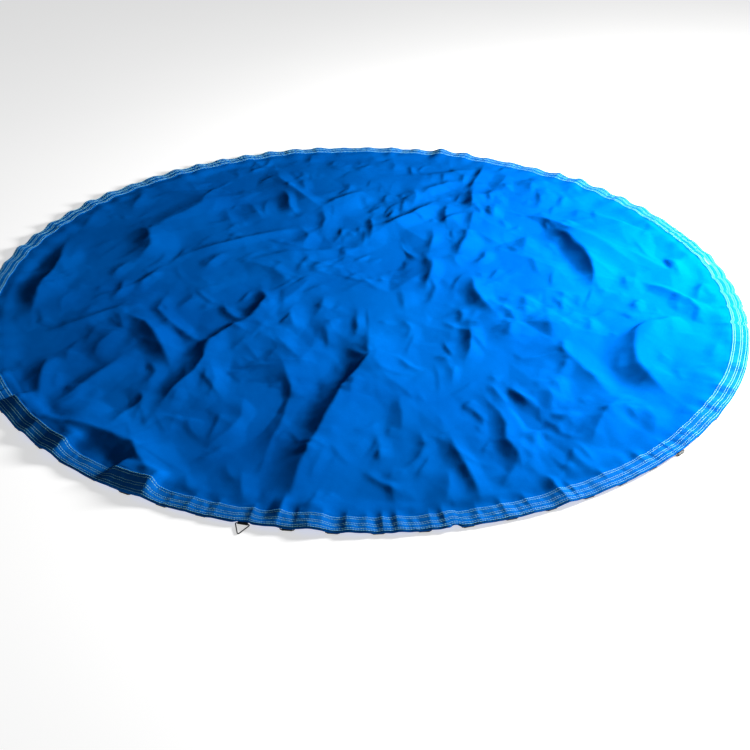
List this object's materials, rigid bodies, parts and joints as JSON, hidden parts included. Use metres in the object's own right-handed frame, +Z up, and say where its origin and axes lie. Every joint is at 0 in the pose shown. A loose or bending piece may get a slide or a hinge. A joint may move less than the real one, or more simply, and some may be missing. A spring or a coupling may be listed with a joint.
{
  "type": "round tie-down cover sheet",
  "caption": "Round blue coated-cloth cover sheet laid flat, with a wide six-row stitched hem and steel V-rings in webbing loops for tie-down cords or springs.",
  "frame": {"origin": "middle of the sheet, on the surface that it lies on", "axes": "+Z up from that surface, +X to the right and +Y away from the viewer"},
  "size_m": [2.44, 2.4412, 0.0331],
  "materials": {
    "sheet": "coated woven cloth, slight sheen",
    "hem": "coated woven cloth",
    "webbing": "woven polyester webbing",
    "thread": "light bonded thread",
    "ring": "dark zinc-plated wire"
  },
  "bodies": {
    "sheet": {"cover_panel": "sheet", "hem_binding": "hem", "hem_webbing": "webbing", "hem_splice_tack": "thread", "ring_loops": "webbing", "stitch_row_1": "thread", "stitch_row_2": "thread", "stitch_row_3": "thread", "stitch_row_4": "thread", "stitch_row_5": "thread", "stitch_row_6": "thread"},
    "swing_v_rings_002_007": {"v_rings_002_007": "ring"},
    "swing_v_rings_012_017": {"v_rings_012_017": "ring"},
    "swing_v_rings_022_027": {"v_rings_022_027": "ring"},
    "swing_v_rings_032_037": {"v_rings_032_037": "ring"},
    "swing_v_rings_042_047": {"v_rings_042_047": "ring"},
    "swing_v_rings_052_057": {"v_rings_052_057": "ring"},
    "swing_v_rings_062_067": {"v_rings_062_067": "ring"},
    "swing_v_rings_072_077": {"v_rings_072_077": "ring"},
    "swing_v_rings_082_087": {"v_rings_082_087": "ring"},
    "swing_v_rings_092_097": {"v_rings_092_097": "ring"},
    "swing_v_rings_102_107": {"v_rings_102_107": "ring"},
    "swing_v_rings_112_117": {"v_rings_112_117": "ring"},
    "swing_v_rings_122_127": {"v_rings_122_127": "ring"},
    "swing_v_rings_132_137": {"v_rings_132_137": "ring"},
    "swing_v_rings_142_147": {"v_rings_142_147": "ring"},
    "swing_v_rings_152_157": {"v_rings_152_157": "ring"},
    "swing_v_rings_162_167": {"v_rings_162_167": "ring"},
    "swing_v_rings_172_177": {"v_rings_172_177": "ring"},
    "swing_v_rings_182_187": {"v_rings_182_187": "ring"},
    "swing_v_rings_192_197": {"v_rings_192_197": "ring"},
    "swing_v_rings_202_207": {"v_rings_202_207": "ring"},
    "swing_v_rings_212_217": {"v_rings_212_217": "ring"},
    "swing_v_rings_222_227": {"v_rings_222_227": "ring"},
    "swing_v_rings_232_237": {"v_rings_232_237": "ring"},
    "swing_v_rings_242_247": {"v_rings_242_247": "ring"},
    "swing_v_ring_252": {"v_ring_252": "ring"},
    "swing_v_ring_257": {"v_ring_257": "ring"},
    "swing_v_rings_262_267": {"v_rings_262_267": "ring"},
    "swing_v_rings_272_277": {"v_rings_272_277": "ring"},
    "swing_v_rings_282_287": {"v_rings_282_287": "ring"},
    "swing_v_rings_292_297": {"v_rings_292_297": "ring"},
    "swing_v_rings_302_307": {"v_rings_302_307": "ring"},
    "swing_v_ring_312": {"v_ring_312": "ring"},
    "swing_v_ring_317": {"v_ring_317": "ring"},
    "swing_v_rings_322_327": {"v_rings_322_327": "ring"},
    "swing_v_rings_332_337": {"v_rings_332_337": "ring"},
    "swing_v_rings_342_347": {"v_rings_342_347": "ring"},
    "swing_v_rings_352_357": {"v_rings_352_357": "ring"}
  },
  "joints": [
    {"name": "v_rings_002_007_hinge", "type": "hinge", "parent": "sheet", "child": "swing_v_rings_002_007", "pos_m": [1.21137, 0.10598, 0.0026], "axis": [0.0872, -0.9962, 0], "range_deg": [0, 178]},
    {"name": "v_rings_012_017_hinge", "type": "hinge", "parent": "sheet", "child": "swing_v_rings_012_017", "pos_m": [1.17457, 0.31472, 0.0026], "axis": [0.2588, -0.9659, 0], "range_deg": [0, 178]},
    {"name": "v_rings_022_027_hinge", "type": "hinge", "parent": "sheet", "child": "swing_v_rings_022_027", "pos_m": [1.10207, 0.5139, 0.0026], "axis": [0.4226, -0.9063, 0], "range_deg": [0, 178]},
    {"name": "v_rings_032_037_hinge", "type": "hinge", "parent": "sheet", "child": "swing_v_rings_032_037", "pos_m": [0.99609, 0.69747, 0.0026], "axis": [0.5736, -0.8192, 0], "range_deg": [0, 178]},
    {"name": "v_rings_042_047_hinge", "type": "hinge", "parent": "sheet", "child": "swing_v_rings_042_047", "pos_m": [0.85984, 0.85984, 0.0026], "axis": [0.7071, -0.7071, 0], "range_deg": [0, 178]},
    {"name": "v_rings_052_057_hinge", "type": "hinge", "parent": "sheet", "child": "swing_v_rings_052_057", "pos_m": [0.69747, 0.99609, 0.0026], "axis": [0.8192, -0.5736, 0], "range_deg": [0, 178]},
    {"name": "v_rings_062_067_hinge", "type": "hinge", "parent": "sheet", "child": "swing_v_rings_062_067", "pos_m": [0.5139, 1.10207, 0.0026], "axis": [0.9063, -0.4226, 0], "range_deg": [0, 178]},
    {"name": "v_rings_072_077_hinge", "type": "hinge", "parent": "sheet", "child": "swing_v_rings_072_077", "pos_m": [0.31472, 1.17457, 0.0026], "axis": [0.9659, -0.2588, 0], "range_deg": [0, 178]},
    {"name": "v_rings_082_087_hinge", "type": "hinge", "parent": "sheet", "child": "swing_v_rings_082_087", "pos_m": [0.10598, 1.21137, 0.0026], "axis": [0.9962, -0.0872, 0], "range_deg": [0, 178]},
    {"name": "v_rings_092_097_hinge", "type": "hinge", "parent": "sheet", "child": "swing_v_rings_092_097", "pos_m": [-0.10598, 1.21137, 0.0026], "axis": [0.9962, 0.0872, 0], "range_deg": [0, 178]},
    {"name": "v_rings_102_107_hinge", "type": "hinge", "parent": "sheet", "child": "swing_v_rings_102_107", "pos_m": [-0.31472, 1.17457, 0.0026], "axis": [0.9659, 0.2588, 0], "range_deg": [0, 178]},
    {"name": "v_rings_112_117_hinge", "type": "hinge", "parent": "sheet", "child": "swing_v_rings_112_117", "pos_m": [-0.5139, 1.10207, 0.0026], "axis": [0.9063, 0.4226, 0], "range_deg": [0, 178]},
    {"name": "v_rings_122_127_hinge", "type": "hinge", "parent": "sheet", "child": "swing_v_rings_122_127", "pos_m": [-0.69747, 0.99609, 0.0026], "axis": [0.8192, 0.5736, 0], "range_deg": [0, 178]},
    {"name": "v_rings_132_137_hinge", "type": "hinge", "parent": "sheet", "child": "swing_v_rings_132_137", "pos_m": [-0.85984, 0.85984, 0.0026], "axis": [0.7071, 0.7071, 0], "range_deg": [0, 178]},
    {"name": "v_rings_142_147_hinge", "type": "hinge", "parent": "sheet", "child": "swing_v_rings_142_147", "pos_m": [-0.99609, 0.69747, 0.0026], "axis": [0.5736, 0.8192, 0], "range_deg": [0, 178]},
    {"name": "v_rings_152_157_hinge", "type": "hinge", "parent": "sheet", "child": "swing_v_rings_152_157", "pos_m": [-1.10207, 0.5139, 0.0026], "axis": [0.4226, 0.9063, 0], "range_deg": [0, 178]},
    {"name": "v_rings_162_167_hinge", "type": "hinge", "parent": "sheet", "child": "swing_v_rings_162_167", "pos_m": [-1.17457, 0.31472, 0.0026], "axis": [0.2588, 0.9659, 0], "range_deg": [0, 178]},
    {"name": "v_rings_172_177_hinge", "type": "hinge", "parent": "sheet", "child": "swing_v_rings_172_177", "pos_m": [-1.21137, 0.10598, 0.0026], "axis": [0.0872, 0.9962, 0], "range_deg": [0, 178]},
    {"name": "v_rings_182_187_hinge", "type": "hinge", "parent": "sheet", "child": "swing_v_rings_182_187", "pos_m": [-1.21137, -0.10598, 0.0026], "axis": [-0.0872, 0.9962, 0], "range_deg": [0, 178]},
    {"name": "v_rings_192_197_hinge", "type": "hinge", "parent": "sheet", "child": "swing_v_rings_192_197", "pos_m": [-1.17457, -0.31472, 0.0026], "axis": [-0.2588, 0.9659, 0], "range_deg": [0, 178]},
    {"name": "v_rings_202_207_hinge", "type": "hinge", "parent": "sheet", "child": "swing_v_rings_202_207", "pos_m": [-1.10207, -0.5139, 0.0026], "axis": [-0.4226, 0.9063, 0], "range_deg": [0, 178]},
    {"name": "v_rings_212_217_hinge", "type": "hinge", "parent": "sheet", "child": "swing_v_rings_212_217", "pos_m": [-0.99609, -0.69747, 0.0026], "axis": [-0.5736, 0.8192, 0], "range_deg": [0, 178]},
    {"name": "v_rings_222_227_hinge", "type": "hinge", "parent": "sheet", "child": "swing_v_rings_222_227", "pos_m": [-0.85984, -0.85984, 0.0026], "axis": [-0.7071, 0.7071, 0], "range_deg": [0, 178]},
    {"name": "v_rings_232_237_hinge", "type": "hinge", "parent": "sheet", "child": "swing_v_rings_232_237", "pos_m": [-0.69747, -0.99609, 0.0026], "axis": [-0.8192, 0.5736, 0], "range_deg": [0, 178]},
    {"name": "v_rings_242_247_hinge", "type": "hinge", "parent": "sheet", "child": "swing_v_rings_242_247", "pos_m": [-0.5139, -1.10207, 0.0026], "axis": [-0.9063, 0.4226, 0], "range_deg": [0, 178]},
    {"name": "v_ring_252_hinge", "type": "hinge", "parent": "sheet", "child": "swing_v_ring_252", "pos_m": [-0.36566, -1.15972, 0.0026], "axis": [-0.9537, 0.3007, 0], "range_deg": [0, 178]},
    {"name": "v_ring_257_hinge", "type": "hinge", "parent": "sheet", "child": "swing_v_ring_257", "pos_m": [-0.26319, -1.18718, 0.0026], "axis": [0.9763, -0.2164, 0], "range_deg": [0, 178]},
    {"name": "v_rings_262_267_hinge", "type": "hinge", "parent": "sheet", "child": "swing_v_rings_262_267", "pos_m": [-0.10598, -1.21137, 0.0026], "axis": [-0.9962, 0.0872, 0], "range_deg": [0, 178]},
    {"name": "v_rings_272_277_hinge", "type": "hinge", "parent": "sheet", "child": "swing_v_rings_272_277", "pos_m": [0.10598, -1.21137, 0.0026], "axis": [-0.9962, -0.0872, 0], "range_deg": [0, 178]},
    {"name": "v_rings_282_287_hinge", "type": "hinge", "parent": "sheet", "child": "swing_v_rings_282_287", "pos_m": [0.31472, -1.17457, 0.0026], "axis": [-0.9659, -0.2588, 0], "range_deg": [0, 178]},
    {"name": "v_rings_292_297_hinge", "type": "hinge", "parent": "sheet", "child": "swing_v_rings_292_297", "pos_m": [0.5139, -1.10207, 0.0026], "axis": [-0.9063, -0.4226, 0], "range_deg": [0, 178]},
    {"name": "v_rings_302_307_hinge", "type": "hinge", "parent": "sheet", "child": "swing_v_rings_302_307", "pos_m": [0.69747, -0.99609, 0.0026], "axis": [-0.8192, -0.5736, 0], "range_deg": [0, 178]},
    {"name": "v_ring_312_hinge", "type": "hinge", "parent": "sheet", "child": "swing_v_ring_312", "pos_m": [0.8276, -0.90316, 0.0026], "axis": [-0.7373, -0.6756, 0], "range_deg": [0, 178]},
    {"name": "v_ring_317_hinge", "type": "hinge", "parent": "sheet", "child": "swing_v_ring_317", "pos_m": [0.89653, -0.82152, 0.0026], "axis": [-0.6756, -0.7373, 0], "range_deg": [0, 178]},
    {"name": "v_rings_322_327_hinge", "type": "hinge", "parent": "sheet", "child": "swing_v_rings_322_327", "pos_m": [0.99609, -0.69747, 0.0026], "axis": [-0.5736, -0.8192, 0], "range_deg": [0, 178]},
    {"name": "v_rings_332_337_hinge", "type": "hinge", "parent": "sheet", "child": "swing_v_rings_332_337", "pos_m": [1.10207, -0.5139, 0.0026], "axis": [-0.4226, -0.9063, 0], "range_deg": [0, 178]},
    {"name": "v_rings_342_347_hinge", "type": "hinge", "parent": "sheet", "child": "swing_v_rings_342_347", "pos_m": [1.17457, -0.31472, 0.0026], "axis": [-0.2588, -0.9659, 0], "range_deg": [0, 178]},
    {"name": "v_rings_352_357_hinge", "type": "hinge", "parent": "sheet", "child": "swing_v_rings_352_357", "pos_m": [1.21137, -0.10598, 0.0026], "axis": [-0.0872, -0.9962, 0], "range_deg": [0, 178]}
  ]
}
